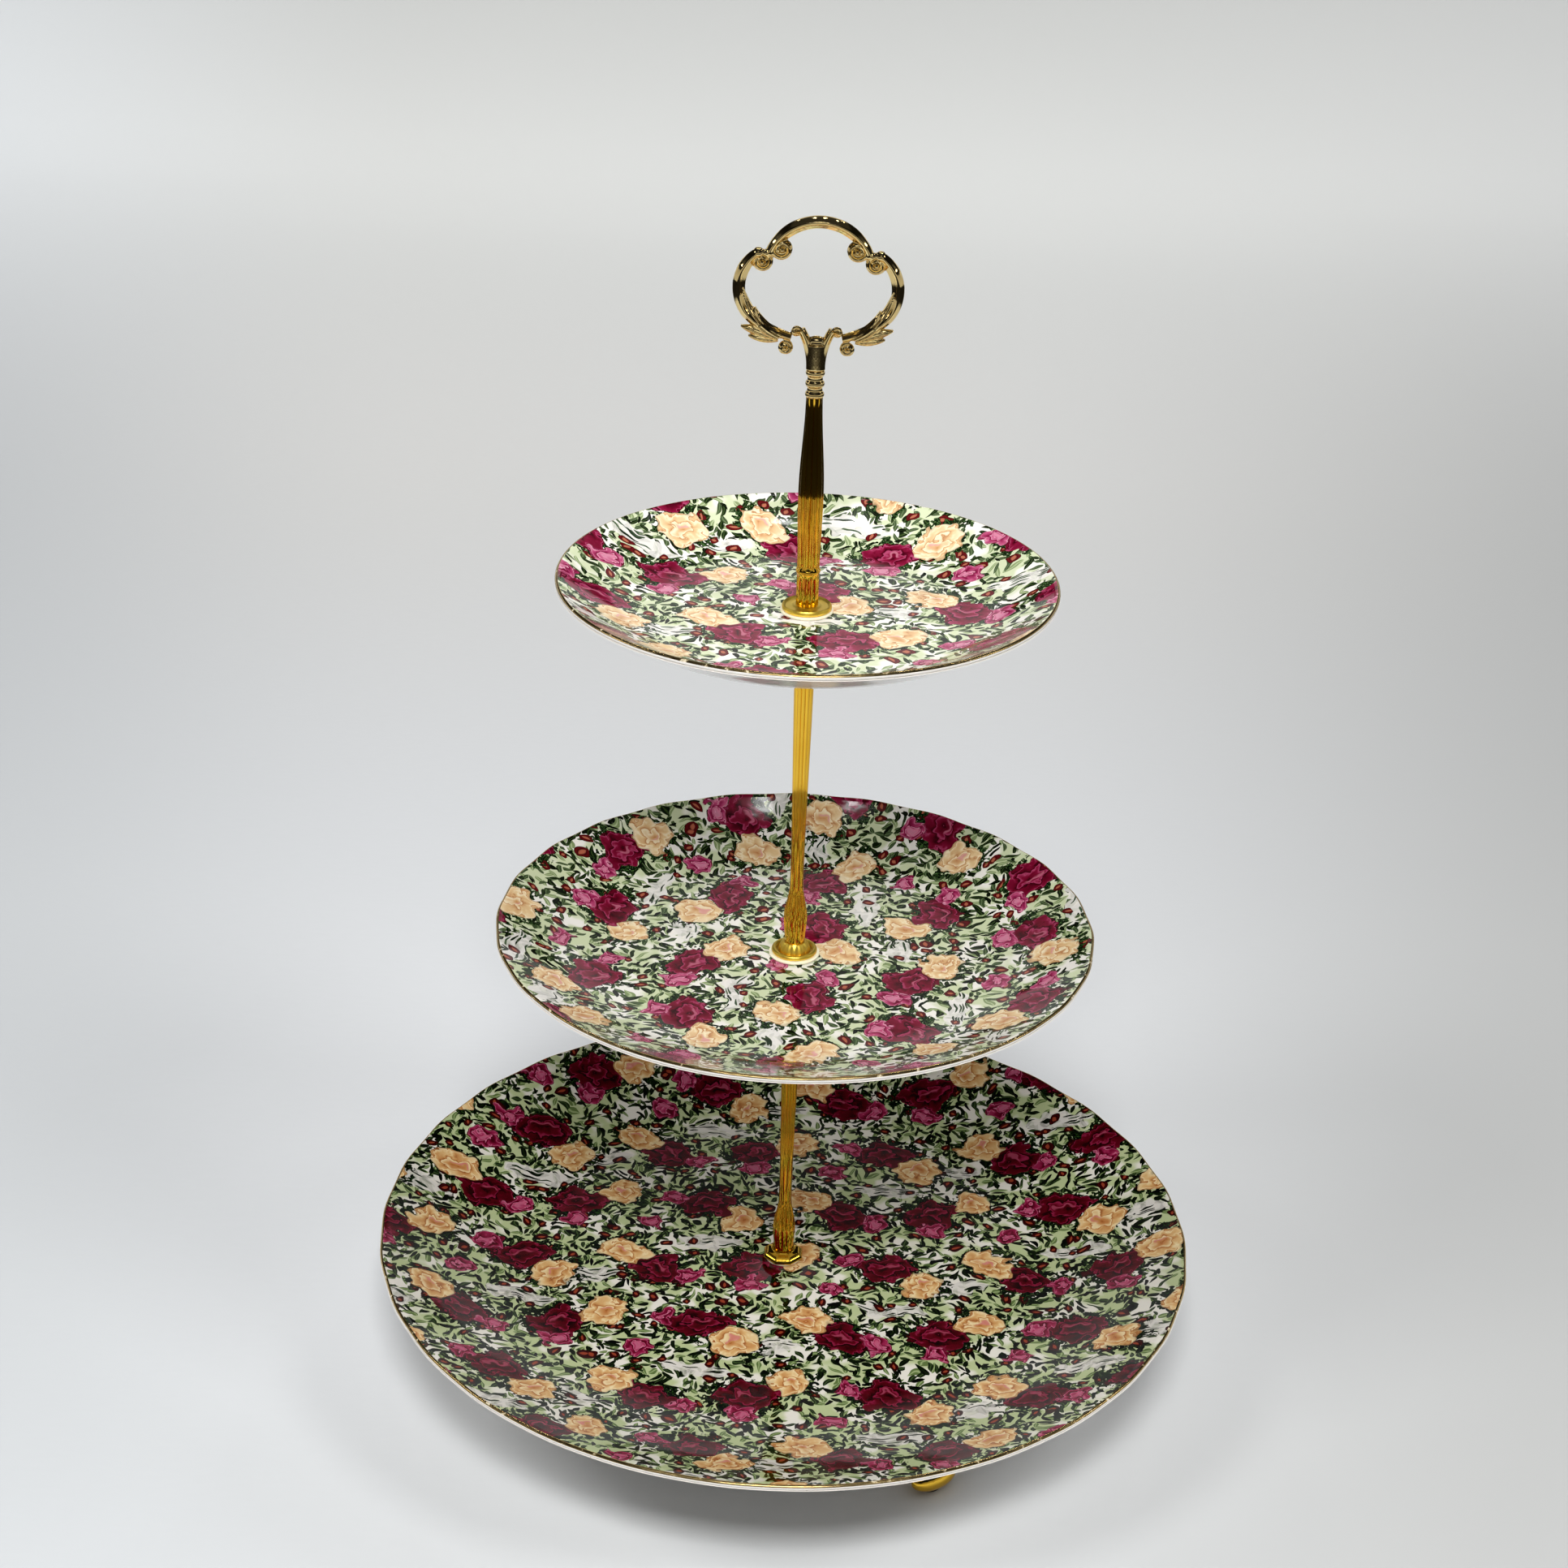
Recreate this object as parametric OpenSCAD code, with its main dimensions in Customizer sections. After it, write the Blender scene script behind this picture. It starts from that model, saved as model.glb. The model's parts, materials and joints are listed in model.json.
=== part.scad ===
// Three tier cake stand: three china plates threaded on screwed gold columns,
// a clover ring handle on top and a three legged scroll base underneath.
// Millimetres, +Z up. The origin is on the centre line, on the table top.

/* [Plates] */
// Rim diameter of the bottom plate
bottom_plate_d = 267; // [240:1:290]
// Rim diameter of the middle plate
middle_plate_d = 188.4; // [170:0.2:200]
// Rim diameter of the top plate
top_plate_d = 150; // [140:1:160]
// Depth from the rim down to the well of the bottom plate
bottom_plate_depth = 13.9; // [11:0.1:16]
// Depth from the rim down to the well of the middle plate
middle_plate_depth = 11.4; // [9:0.1:13]
// Depth from the rim down to the well of the top plate
top_plate_depth = 11.2; // [9:0.1:13]
// Thickness of the china in the well of the bottom plate
bottom_plate_t = 4; // [3.4:0.1:4.6]
// Thickness of the china in the well of the middle plate
middle_plate_t = 3.6; // [3:0.1:4]
// Thickness of the china in the well of the top plate
top_plate_t = 3.2; // [2.8:0.1:3.6]
// Hole through the middle of each plate
plate_hole_d = 8; // [7.6:0.1:9]
// How far each foot ring stands below the well
foot_ring_h = 2.2; // [1.6:0.1:2.6]

/* [Columns] */
// Length of the lower and of the middle column, which are alike
column_l = 106.4; // [90:0.2:130]
// Diameter of a column at its top end
column_top_d = 6.2; // [6:0.1:7]
// Diameter of a column at its narrow neck
column_neck_d = 4.2; // [3.8:0.1:5]
// Diameter of a column at its swelling near the foot
column_swell_d = 7.4; // [7:0.1:8.4]
// Length of the upper column, under the handle
upper_column_l = 64.25; // [56:0.25:76]
// Diameter of the upper column at its widest
upper_column_d = 7.5; // [7:0.1:8.4]
// Diameter of the upper column where it meets the collar
upper_column_top_d = 4.9; // [4.8:0.1:5.4]

/* [Screws] */
// Diameter of the studs that hold the tiers
stud_d = 4; // [3.8:0.1:4.2]
// Diameter of the stud that holds the handle
handle_stud_d = 3; // [2.8:0.1:3]
// Depth that a stud screws into the piece above it
thread_depth = 9; // [8:0.5:9]

/* [Rosettes and washers] */
// Diameter of the eight sided rosette over the bottom plate
lower_rosette_d = 13.8; // [13:0.1:16]
// Diameter of the domed rosette over the middle plate
middle_rosette_d = 14.4; // [14:0.1:17]
// Diameter of the flat rosette over the top plate
upper_rosette_d = 15; // [14:0.1:17]
// Diameter of the soft washers under the rosettes
soft_washer_d = 16; // [15:0.1:18]
// Diameter of the washers that carry a plate from below
support_washer_d = 18; // [17:0.5:22]

/* [Base] */
// Distance from the centre line to the middle of each toe
toe_reach = 87; // [80:1:95]
// Direction of the front leg, seen from above
leg_turn = -56; // [-90:1:90]
// Diameter of the hub under the bottom plate
hub_d = 36; // [32:1:44]
// Diameter of the scroll at each toe
toe_d = 10; // [9:0.5:10]
// Width of each toe
toe_w = 11; // [9:0.5:13]

/* [Handle] */
// Thickness of the bars of the ring
bar_d = 3.7; // [3.2:0.1:4]
// Diameter of the scroll ends of the side bars
scroll_d = 5.4; // [5:0.1:5.8]
// Diameter of the ringed collar under the handle
collar_d = 5.6; // [5.2:0.1:6]

/* [Hidden] */
$fn = 96;
// Flat faces of different bodies lie this far apart
gap = 0.05;
// Radial running clearance of a stud in its hole
run = 0.05;
pad_d = 8;
pad_h = 1.2;
soft_h = 0.8;
bush_h = 1;
support_h = 1.2;
hub_top = 28.95;
lower_seat_h = 3;
middle_seat_h = 4;
upper_seat_h = 1.4;
collar_h = 8.2;
// How far the handle's stud goes into the upper column, and into the handle
handle_stud_bottom = 8;
handle_stud_top = 6;
legs = 3;

// Heights from the table upwards
bottom_well = hub_top + bush_h + gap + bottom_plate_t;
lower_column_z = bottom_well + gap + soft_h + lower_seat_h;
middle_support_z = lower_column_z + column_l;
middle_well = middle_support_z + support_h + bush_h + gap + middle_plate_t;
middle_column_z = middle_well + gap + soft_h + middle_seat_h;
top_support_z = middle_column_z + column_l;
top_well = top_support_z + support_h + bush_h + gap + top_plate_t;
upper_column_z = top_well + gap + soft_h + upper_seat_h;
collar_z = upper_column_z + upper_column_l;
handle_z = collar_z + collar_h;

function ease(t) = (1 - cos(180 * t)) / 2;
function swell(a, b, t) = a + (b - a) * ease(t);

// Upright cylinder from height z, used both as a rod and as the tool that cuts a hole
module rod(d, z, h) {
    translate([0, 0, z]) cylinder(d = d, h = h);
}

module ring_washer(d, hole_d, z, h) {
    translate([0, 0, z]) difference() {
        cylinder(d = d, h = h);
        rod(hole_d, -1, h + 2);
    }
}

// Soft washer under a plate, with a spigot that centres the plate on its stud
module bush(z, plate_t) {
    spigot_d = plate_hole_d - 2 * run;
    translate([0, 0, z]) difference() {
        union() {
            cylinder(d = support_washer_d - 1, h = bush_h);
            cylinder(d = spigot_d, h = bush_h + plate_t * 0.8);
        }
        rod(stud_d + 2 * run, -1, bush_h + plate_t + 2);
    }
}

// Share of the dish depth gained at t, from the edge of the well (0) to the lip (1)
function dish(t) = t * t * (1.55 - 0.55 * t);

// Coupe plate: flat well, rising wall, round lip and a foot ring
module plate(d, depth, t, well_z) {
    lip_r = 1.3;
    steps = 12;
    wall_r = d / 2 - lip_r;
    flat_r = d * 0.3;
    foot_r = flat_r - 2;
    foot_w = 2.8;
    under_z = well_z - t;
    top_face = [for (i = [0 : steps])
        [flat_r + (wall_r - flat_r) * i / steps, well_z + depth * dish(i / steps)]];
    under_face = [for (i = [steps : -1 : 0])
        [flat_r + 0.9 + (wall_r - flat_r) * i / steps,
            well_z + depth * dish(i / steps) - swell(t, 2 * lip_r, i / steps)]];
    lip = [for (a = [60 : -30 : -60])
        [wall_r + lip_r * cos(a), well_z + depth - lip_r + lip_r * sin(a)]];
    foot_ring = [
        [foot_r + foot_w / 2 + 1, under_z], [foot_r + foot_w / 2, under_z - foot_ring_h],
        [foot_r - foot_w / 2, under_z - foot_ring_h], [foot_r - foot_w / 2 - 1, under_z]];
    color("ivory") rotate_extrude() polygon(concat(
        [[plate_hole_d / 2, under_z], [plate_hole_d / 2, well_z]],
        top_face, lip, under_face, foot_ring));
}

// Column of the lower tiers: narrow neck, swelling and foot, tapped at both ends
module column(z) {
    top_r = column_top_d / 2;
    neck_r = column_neck_d / 2;
    swell_r = column_swell_d / 2;
    foot_r = 3.2;
    neck_h = 20;
    swell_h = 8;
    outline = concat(
        [for (i = [0 : 4]) [swell(foot_r, swell_r, i / 4), swell_h * i / 4]],
        [for (i = [1 : 6]) [swell(swell_r, neck_r, i / 6), swell_h + (neck_h - swell_h) * i / 6]],
        [for (i = [1 : 6]) [swell(neck_r, top_r, i / 6), neck_h + (column_l - neck_h) * i / 6]]);
    bore_d = stud_d + 2 * run;
    bore_h = thread_depth + 1;
    color("goldenrod") translate([0, 0, z]) difference() {
        rotate_extrude() polygon(concat([[0, 0]], outline, [[0, column_l]]));
        rod(bore_d, -1, bore_h + 1);
        rod(bore_d, column_l - bore_h, bore_h + 1);
    }
}

// Headless stud from the piece below into the piece above
module stud(d, z0, z1) {
    chamfer = 0.4;
    color("silver") translate([0, 0, z0]) {
        cylinder(d1 = d - 2 * chamfer, d2 = d, h = chamfer);
        translate([0, 0, chamfer]) cylinder(d = d, h = z1 - z0 - 2 * chamfer);
        translate([0, 0, z1 - z0 - chamfer]) cylinder(d1 = d, d2 = d - 2 * chamfer, h = chamfer);
    }
}

// Bar bent to an arc in the XZ plane, about (x, z)
module bent_bar(x, z, r, from, to, d) {
    translate([x, 0, z]) rotate([90, 0, 0]) rotate([0, 0, from])
        rotate_extrude(angle = to - from) translate([r, 0]) circle(d = d, $fn = 48);
}

module ball(x, z, d) {
    translate([x, 0, z]) sphere(d = d, $fn = 48);
}

// Pointed leaf from (x0, z0) to (x1, z1) in the XZ plane
module leaf(x0, z0, x1, z1, d) {
    length = norm([x1 - x0, z1 - z0]);
    translate([x0, 0, z0]) rotate([0, atan2(x1 - x0, z1 - z0), 0])
        cylinder(d1 = d, d2 = 0.6, h = length, $fn = 32);
}

// One leg in its own XZ plane: shoulder arc, knuckle, ankle arc and scroll toe
module leg() {
    shoulder_d = 7;
    ankle_d = 6;
    shoulder_r = 45;
    shoulder_x = toe_reach - 59;
    shoulder_z = -21.5;
    ankle_r = 20;
    bend = 45;
    knuckle_x = shoulder_x + shoulder_r * cos(bend);
    knuckle_z = shoulder_z + shoulder_r * sin(bend);
    bent_bar(shoulder_x, shoulder_z, shoulder_r, bend, 115, shoulder_d);
    ball(knuckle_x, knuckle_z, shoulder_d + 0.8);
    bent_bar(knuckle_x + ankle_r * cos(bend), knuckle_z + ankle_r * sin(bend), ankle_r,
        180 + bend, 300, ankle_d);
    translate([toe_reach, 0, pad_h + toe_d / 2]) rotate([90, 0, 0])
        cylinder(d = toe_d, h = toe_w, center = true);
    translate([toe_reach, 0, pad_h]) cylinder(d = toe_w - 3, h = toe_d / 2);
}

module around_legs() {
    for (i = [0 : legs - 1]) rotate([0, 0, leg_turn + i * 360 / legs]) children();
}

module base_spider() {
    boss_z = 15;
    screw_seat = 22;
    recess_d = 9;
    color("gold") difference() {
        union() {
            rotate_extrude() polygon([
                [0, hub_top], [hub_d / 2 - 1, hub_top], [hub_d / 2, hub_top - 1],
                [hub_d / 2, hub_top - 3], [13, hub_top - 6], [10, boss_z + 1], [9, boss_z], [0, boss_z]]);
            around_legs() leg();
        }
        rod(stud_d + 1, boss_z - 1, hub_top);
        rod(recess_d, boss_z - 10, screw_seat - boss_z + 10);
    }
}

module foot_pads() {
    color("black") around_legs() translate([toe_reach, 0, 0]) cylinder(d = pad_d, h = pad_h);
}

module base_screw() {
    head_d = 8;
    head_z = 19.6;
    head_h = 2.4;
    key_d = 2.6;
    color("silver") difference() {
        union() {
            rod(head_d, head_z, head_h);
            rod(stud_d, head_z + head_h, lower_column_z + thread_depth - head_z - head_h);
        }
        rod(key_d, head_z - 1, head_h);
    }
}

module bottom_bush() color("whitesmoke") bush(hub_top, bottom_plate_t);
module middle_bush() color("whitesmoke") bush(middle_support_z + support_h, middle_plate_t);
module top_bush() color("whitesmoke") bush(top_support_z + support_h, top_plate_t);

module bottom_plate() plate(bottom_plate_d, bottom_plate_depth, bottom_plate_t, bottom_well);
module middle_plate() plate(middle_plate_d, middle_plate_depth, middle_plate_t, middle_well);
module top_plate() plate(top_plate_d, top_plate_depth, top_plate_t, top_well);

module soft_washer(d, well_z) {
    color("whitesmoke") ring_washer(d, stud_d + 2 * run, well_z + gap, soft_h);
}

module lower_soft_washer() soft_washer(lower_rosette_d - 2, bottom_well);
module middle_soft_washer() soft_washer(soft_washer_d, middle_well);
module upper_soft_washer() soft_washer(soft_washer_d, top_well);

// Eight sided flange that narrows to the foot of the column
module lower_rosette() {
    z = lower_column_z - lower_seat_h;
    edge_h = 1.2;
    color("gold") difference() {
        union() {
            translate([0, 0, z]) rotate([0, 0, 22.5]) cylinder(d = lower_rosette_d, h = edge_h, $fn = 8);
            translate([0, 0, z + edge_h])
                cylinder(d1 = lower_rosette_d * cos(22.5), d2 = 8, h = lower_seat_h - edge_h);
        }
        rod(stud_d + 2 * run, z - 1, lower_seat_h + 2);
    }
}

// Dished flange with a rolled rim and a dome that carries the column
module middle_rosette() {
    z = middle_column_z - middle_seat_h;
    r = middle_rosette_d / 2;
    dome = [for (i = [0 : 5]) [swell(r - 2, 3.6, i / 5), z + 0.9 + (middle_seat_h - 0.9) * i / 5]];
    rim = [for (a = [-60 : 30 : 180]) [r - 0.8 + 0.8 * cos(a), z + 0.8 + 0.8 * sin(a)]];
    color("gold") difference() {
        rotate_extrude() polygon(concat(
            [[0, z]], [[r - 0.8, z]], rim, dome, [[0, middle_column_z]]));
        rod(stud_d + 2 * run, z - 1, middle_seat_h + 2);
    }
}

// Flat flange, a little dished, that the upper column stands in
module upper_rosette() {
    z = upper_column_z - upper_seat_h;
    r = upper_rosette_d / 2;
    color("gold") difference() {
        rotate_extrude() polygon([
            [0, z], [r - 0.4, z], [r, z + 0.5], [r, z + 1.3], [r - 0.5, z + 1.7],
            [r - 1.2, z + 1.4], [4.2, z + upper_seat_h - 0.3], [3.6, z + upper_seat_h],
            [0, z + upper_seat_h]]);
        rod(stud_d + 2 * run, z - 1, upper_seat_h + 2);
    }
}

module lower_column() column(lower_column_z);
module middle_column() column(middle_column_z);

module middle_stud() stud(stud_d, middle_support_z - thread_depth, middle_column_z + thread_depth);
module top_stud() stud(stud_d, top_support_z - thread_depth, upper_column_z + thread_depth);

module support_washer(z) {
    color("gold") ring_washer(support_washer_d, stud_d + 0.4, z, support_h);
}

module middle_support_washer() support_washer(middle_support_z);
module top_support_washer() support_washer(top_support_z);

// Upper column: beaded foot, long swelling and a taper up to the collar
module upper_column() {
    foot_r = 3.35;
    bead_h = 10;
    wide_h = upper_column_l * 0.54;
    wide_r = upper_column_d / 2;
    top_r = upper_column_top_d / 2;
    outline = concat(
        [[foot_r, 0], [foot_r, bead_h], [foot_r + 0.35, bead_h + 0.5], [foot_r + 0.35, bead_h + 1.3],
            [foot_r, bead_h + 1.8]],
        [for (i = [1 : 5]) [swell(foot_r, wide_r, i / 5),
            bead_h + 1.8 + (wide_h - bead_h - 1.8) * i / 5]],
        [for (i = [1 : 6]) [swell(wide_r, top_r, i / 6), wide_h + (upper_column_l - wide_h) * i / 6]]);
    color("goldenrod") translate([0, 0, upper_column_z]) difference() {
        rotate_extrude() polygon(concat([[0, 0]], outline, [[0, upper_column_l]]));
        rod(stud_d + 2 * run, -1, thread_depth + 2);
        rod(handle_stud_d + 2 * run, upper_column_l - handle_stud_bottom - 1, handle_stud_bottom + 2);
    }
}

module handle_stud() stud(handle_stud_d, collar_z - handle_stud_bottom, handle_z + handle_stud_top);

// Ferrule with three raised rings
module handle_collar() {
    ring_h = 1.8;
    groove_r = collar_d / 2 - 0.45;
    color("gold") difference() {
        union() {
            rod(2 * groove_r, collar_z, collar_h);
            for (z = [0, (collar_h - ring_h) / 2, collar_h - ring_h])
                rod(collar_d, collar_z + z, ring_h);
        }
        rod(handle_stud_d + 2 * run, collar_z - 1, collar_h + 2);
    }
}

// Right half of the clover ring. Heights are above the handle's foot
module half_ring() {
    // Top bar and its scroll
    bent_bar(0, 27.3, 15.5, 36.5, 90.1, bar_d);
    ball(12.46, 36.5, bar_d);
    ball(10.1, 35.45, scroll_d - 0.3);
    // Scroll and side bar
    bent_bar(15.3, 31.15, 2.9, 10, 125, 3);
    ball(15.3, 31.15, scroll_d);
    bent_bar(10.5, 23.5, 12.1, -62, 50, bar_d);
    // Lower bar, running in to its own small scroll
    bent_bar(-4.46, 51.7, 44, -73.2, -61.8, bar_d - 0.5);
    bent_bar(7.6, 6.7, 2.6, 70, 200, 2.4);
    ball(7.6, 6, 4.2);
    ball(8.1, 9.3, 3);
    // Leaves inside and outside the side bar
    leaf(21, 15, 20.2, 22, 3);
    leaf(17, 12, 16.4, 17, 3);
    leaf(16.5, 12.3, 20.6, 11, 3.2);
    leaf(14, 11, 17, 8.4, 2.8);
    // Arm of the fork
    bent_bar(23.2, 0, 22.2, 149, 179.9, 3.2);
    ball(4.3, 11.4, 3);
    ball(6, 10.4, 2.8);
}

module ring_handle() {
    neck_d = 4.9;
    neck_top_d = 6.3;
    neck_h = 7.5;
    bore_h = 6.8;
    fork_spread = 30;
    color("gold") translate([0, 0, handle_z]) difference() {
        union() {
            half_ring();
            mirror([1, 0, 0]) half_ring();
            cylinder(d1 = neck_d, d2 = neck_top_d, h = neck_h);
            translate([0, 0, neck_h]) cylinder(d1 = neck_top_d, d2 = 4, h = 1.4);
        }
        rod(handle_stud_d + 2 * run, -1, bore_h + 1);
        // The arms of the fork end flat on the collar
        rod(fork_spread, -10, 10);
    }
}

base_spider();
foot_pads();
base_screw();
bottom_bush();
bottom_plate();
lower_soft_washer();
lower_rosette();
lower_column();
middle_stud();
middle_support_washer();
middle_bush();
middle_plate();
middle_soft_washer();
middle_rosette();
middle_column();
top_stud();
top_support_washer();
top_bush();
top_plate();
upper_soft_washer();
upper_rosette();
upper_column();
handle_stud();
handle_collar();
ring_handle();
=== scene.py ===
import json
import math

import bmesh
import bpy
from mathutils import Matrix, Vector


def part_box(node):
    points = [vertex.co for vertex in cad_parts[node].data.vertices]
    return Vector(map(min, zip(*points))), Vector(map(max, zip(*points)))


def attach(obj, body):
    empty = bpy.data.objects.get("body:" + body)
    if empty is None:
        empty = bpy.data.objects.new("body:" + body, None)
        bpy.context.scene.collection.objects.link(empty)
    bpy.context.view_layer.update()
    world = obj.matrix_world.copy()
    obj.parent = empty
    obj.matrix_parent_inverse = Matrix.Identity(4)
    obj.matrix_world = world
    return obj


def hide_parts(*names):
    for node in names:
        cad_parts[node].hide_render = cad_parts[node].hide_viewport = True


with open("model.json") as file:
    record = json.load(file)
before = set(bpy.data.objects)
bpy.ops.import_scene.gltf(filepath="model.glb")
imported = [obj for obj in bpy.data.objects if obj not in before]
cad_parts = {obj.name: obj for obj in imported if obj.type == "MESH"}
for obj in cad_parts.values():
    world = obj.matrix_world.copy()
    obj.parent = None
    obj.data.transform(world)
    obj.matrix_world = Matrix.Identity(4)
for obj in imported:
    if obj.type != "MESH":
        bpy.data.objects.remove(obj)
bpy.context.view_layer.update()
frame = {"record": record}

# The camera and lights are in metres. Other lengths are in millimetres, and new_mesh() makes them metres.
MM = 0.001
RECORD = frame["record"]
BODY_OF = {node: body for body, nodes in RECORD["behaviour"]["bodies"].items() for node in nodes}
TURN = 2 * math.pi


def bottom(node):
    """Lowest height of a CAD node, in mm."""
    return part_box(node)[0].z / MM


def top(node):
    """Highest height of a CAD node, in mm."""
    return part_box(node)[1].z / MM


def radius_of(node):
    """Largest reach of a CAD node from the centre line, in mm."""
    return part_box(node)[1].x / MM


# ---- camera, lights and stage


CAMERA_PLACE = (0, -0.760, 0.571)


def make_camera():
    """Camera that looks down at the stand, a little turned and rolled. Its angles are in radians."""
    pitch, yaw, roll = 0.4441, -0.0066, -0.0338
    forward = Vector((math.sin(yaw) * math.cos(pitch), math.cos(yaw) * math.cos(pitch), -math.sin(pitch)))
    right = Vector((math.cos(yaw), -math.sin(yaw), 0))
    up = right.cross(forward)
    side = math.cos(roll) * right - math.sin(roll) * up
    head = math.sin(roll) * right + math.cos(roll) * up
    data = bpy.data.cameras.new("camera")
    data.sensor_width = 36
    data.lens = 62.76
    camera = bpy.data.objects.new("camera", data)
    axes = Matrix((side, head, -forward)).transposed().to_4x4()
    camera.matrix_world = Matrix.Translation(CAMERA_PLACE) @ axes
    bpy.context.scene.collection.objects.link(camera)
    bpy.context.scene.camera = camera


def area_light(name, place, target, size, power, mirrored=True):
    """Softbox at place, aimed at target, in metres and watts. Gold and glaze only show it if mirrored."""
    data = bpy.data.lights.new(name, "AREA")
    data.shape = "RECTANGLE"
    data.size, data.size_y = size
    data.energy = power
    light = bpy.data.objects.new(name, data)
    light.location = place
    light.rotation_euler = (Vector(target) - Vector(place)).to_track_quat("-Z", "Y").to_euler()
    light.visible_glossy = mirrored
    bpy.context.scene.collection.objects.link(light)
    return light


def grey(level):
    """Linear colour of a grey level."""
    return (level, level, level, 1)


def make_lights():
    """Soft keys at the sides and front, a wash over the back, and lamps and spots for the gold to mirror."""
    aim = (0, 0, 0.1)
    for name, x in (("left_key", -1.15), ("right_key", 1.15)):
        area_light(name, (x, -0.70, 1.60), aim, (0.5, 0.5), 11, mirrored=False)
    area_light("front_key", (0, -1.05, 1.34), aim, (0.4, 0.3), 20)
    wash = area_light("back_wash", (0, 1.95, 1.5), (0, 1.951, 0), (3.4, 1.3), 17, mirrored=False)
    wash.data.spread = math.radians(95)
    for name, x in (("left_lamp", -1.45), ("right_lamp", 1.45)):
        area_light(name, (x, 0.05, 1.05), (0, 0, 0.04), (0.45, 0.3), 3)
    for i, (x, y) in enumerate(((-0.15, 0.45), (0.10, 0.46), (0.42, 0.42), (-0.60, 0.80), (0.60, 0.80))):
        area_light(f"spot_{i}", (x, y, 1.5), aim, (0.06, 0.05), 0.35)


def make_world():
    """Dim room that is dark overhead, with pale paper behind the stand."""
    world = bpy.data.worlds.new("studio")
    world.use_nodes = True
    t = Tree(world.node_tree)
    _, depth, height = t.split(t.node("TexCoord").outputs["Generated"])
    room = t.ramp(height, (0.0, grey(0.50)), (0.12, grey(0.40)), (0.25, grey(0.20)), (0.47, grey(0.14)),
                  (0.62, grey(0.03)))
    paper = t.ramp(height, (0.0, grey(0.40)), (0.10, (0.90, 0.90, 0.89, 1)), (0.37, (0.85, 0.85, 0.84, 1)),
                   (0.60, grey(0.03)))
    background = world.node_tree.nodes["Background"]
    t.put(background.inputs["Color"], t.mix(t.fade(depth, 0.30, 0.80), room, paper))
    bpy.context.scene.world = world
    bpy.context.scene.view_settings.view_transform = "Standard"


# ---- shader nodes


class Tree:
    """Short calls that add nodes to a shader tree and link them."""

    def __init__(self, tree):
        self.tree = tree

    def put(self, socket, value):
        if isinstance(value, bpy.types.NodeSocket):
            self.tree.links.new(value, socket)
        elif value is not None:
            socket.default_value = value

    def node(self, kind, *values, **settings):
        node = self.tree.nodes.new("ShaderNode" + kind)
        for name, value in settings.items():
            setattr(node, name, value)
        for socket, value in zip(node.inputs, values):
            self.put(socket, value)
        return node

    def add(self, kind, *values, **settings):
        return self.node(kind, *values, **settings).outputs[0]

    def math(self, operation, *values):
        return self.add("Math", *values, operation=operation)

    def times(self, a, b):
        return self.math("MULTIPLY", a, b)

    def vector(self, operation, *values):
        node = self.node("VectorMath", *values, operation=operation)
        return node.outputs["Value" if operation in ("LENGTH", "DOT_PRODUCT") else "Vector"]

    def split(self, vector):
        return self.node("SeparateXYZ", vector).outputs

    def mix_vector(self, factor, a, b):
        node = self.node("Mix", data_type="VECTOR")
        for socket, value in zip((node.inputs[0], node.inputs[4], node.inputs[5]), (factor, a, b)):
            self.put(socket, value)
        return node.outputs[1]

    def mix(self, factor, a, b, blend="MIX"):
        node = self.node("Mix", data_type="RGBA", blend_type=blend)
        for socket, value in zip((node.inputs[0], node.inputs[6], node.inputs[7]), (factor, a, b)):
            self.put(socket, value)
        return node.outputs[2]

    def noise(self, place, scale, detail, dimensions="3D", output=0):
        """Noise of a given number of bumps per unit: its value, or its colour as output 1."""
        node = self.node("TexNoise", place, None, scale, detail, noise_dimensions=dimensions)
        return node.outputs[output]

    def bump(self, shader, strength, distance, height):
        """Bump of a strength, over a distance in metres, on a shader's inputs."""
        node = self.node("Bump", strength, distance)
        self.put(node.inputs["Height"], height)
        self.put(shader["Normal"], node.outputs[0])

    def roughen(self, shader, value, spread, least):
        """Roughness from a least one up, over a spread that a value from 0 to 1 gives a share of."""
        self.put(shader["Roughness"], self.math("MULTIPLY_ADD", value, spread, least))

    def flat_length(self, place):
        """Length in the XY plane."""
        return self.vector("LENGTH", self.vector("MULTIPLY", place, (1, 1, 0)))

    def fade(self, value, low, high):
        """0 below low and 1 above high, with a smooth step between them."""
        node = self.node("MapRange", value, low, high, 0.0, 1.0, interpolation_type="SMOOTHSTEP")
        return node.outputs[0]

    def ramp(self, value, *stops):
        """Colour ramp through (position, colour) stops."""
        node = self.node("ValToRGB", value)
        elements = node.color_ramp.elements
        while len(elements) < len(stops):
            elements.new(0.5)
        for element, (position, colour) in zip(elements, stops):
            element.position = position
            element.color = colour
        return node.outputs[0]


def srgb(red, green, blue):
    """Linear colour of a screen colour given as 0 to 255."""
    def linear(value):
        value /= 255
        return value / 12.92 if value <= 0.04045 else ((value + 0.055) / 1.055) ** 2.4
    return (linear(red), linear(green), linear(blue), 1)


def new_material(name):
    """A material with a Principled shader: the material, its tree and the shader's inputs."""
    material = bpy.data.materials.new(name)
    material.use_nodes = True
    tree = Tree(material.node_tree)
    return material, tree, material.node_tree.nodes["Principled BSDF"].inputs


# ---- rose print

# The print repeats on two slanted steps, in mm.
STEP_A = (61.0, -34.3)
STEP_B = (0.0, -68.6)
BURGUNDY, YELLOW, PINK = 1, 2, 3
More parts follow.
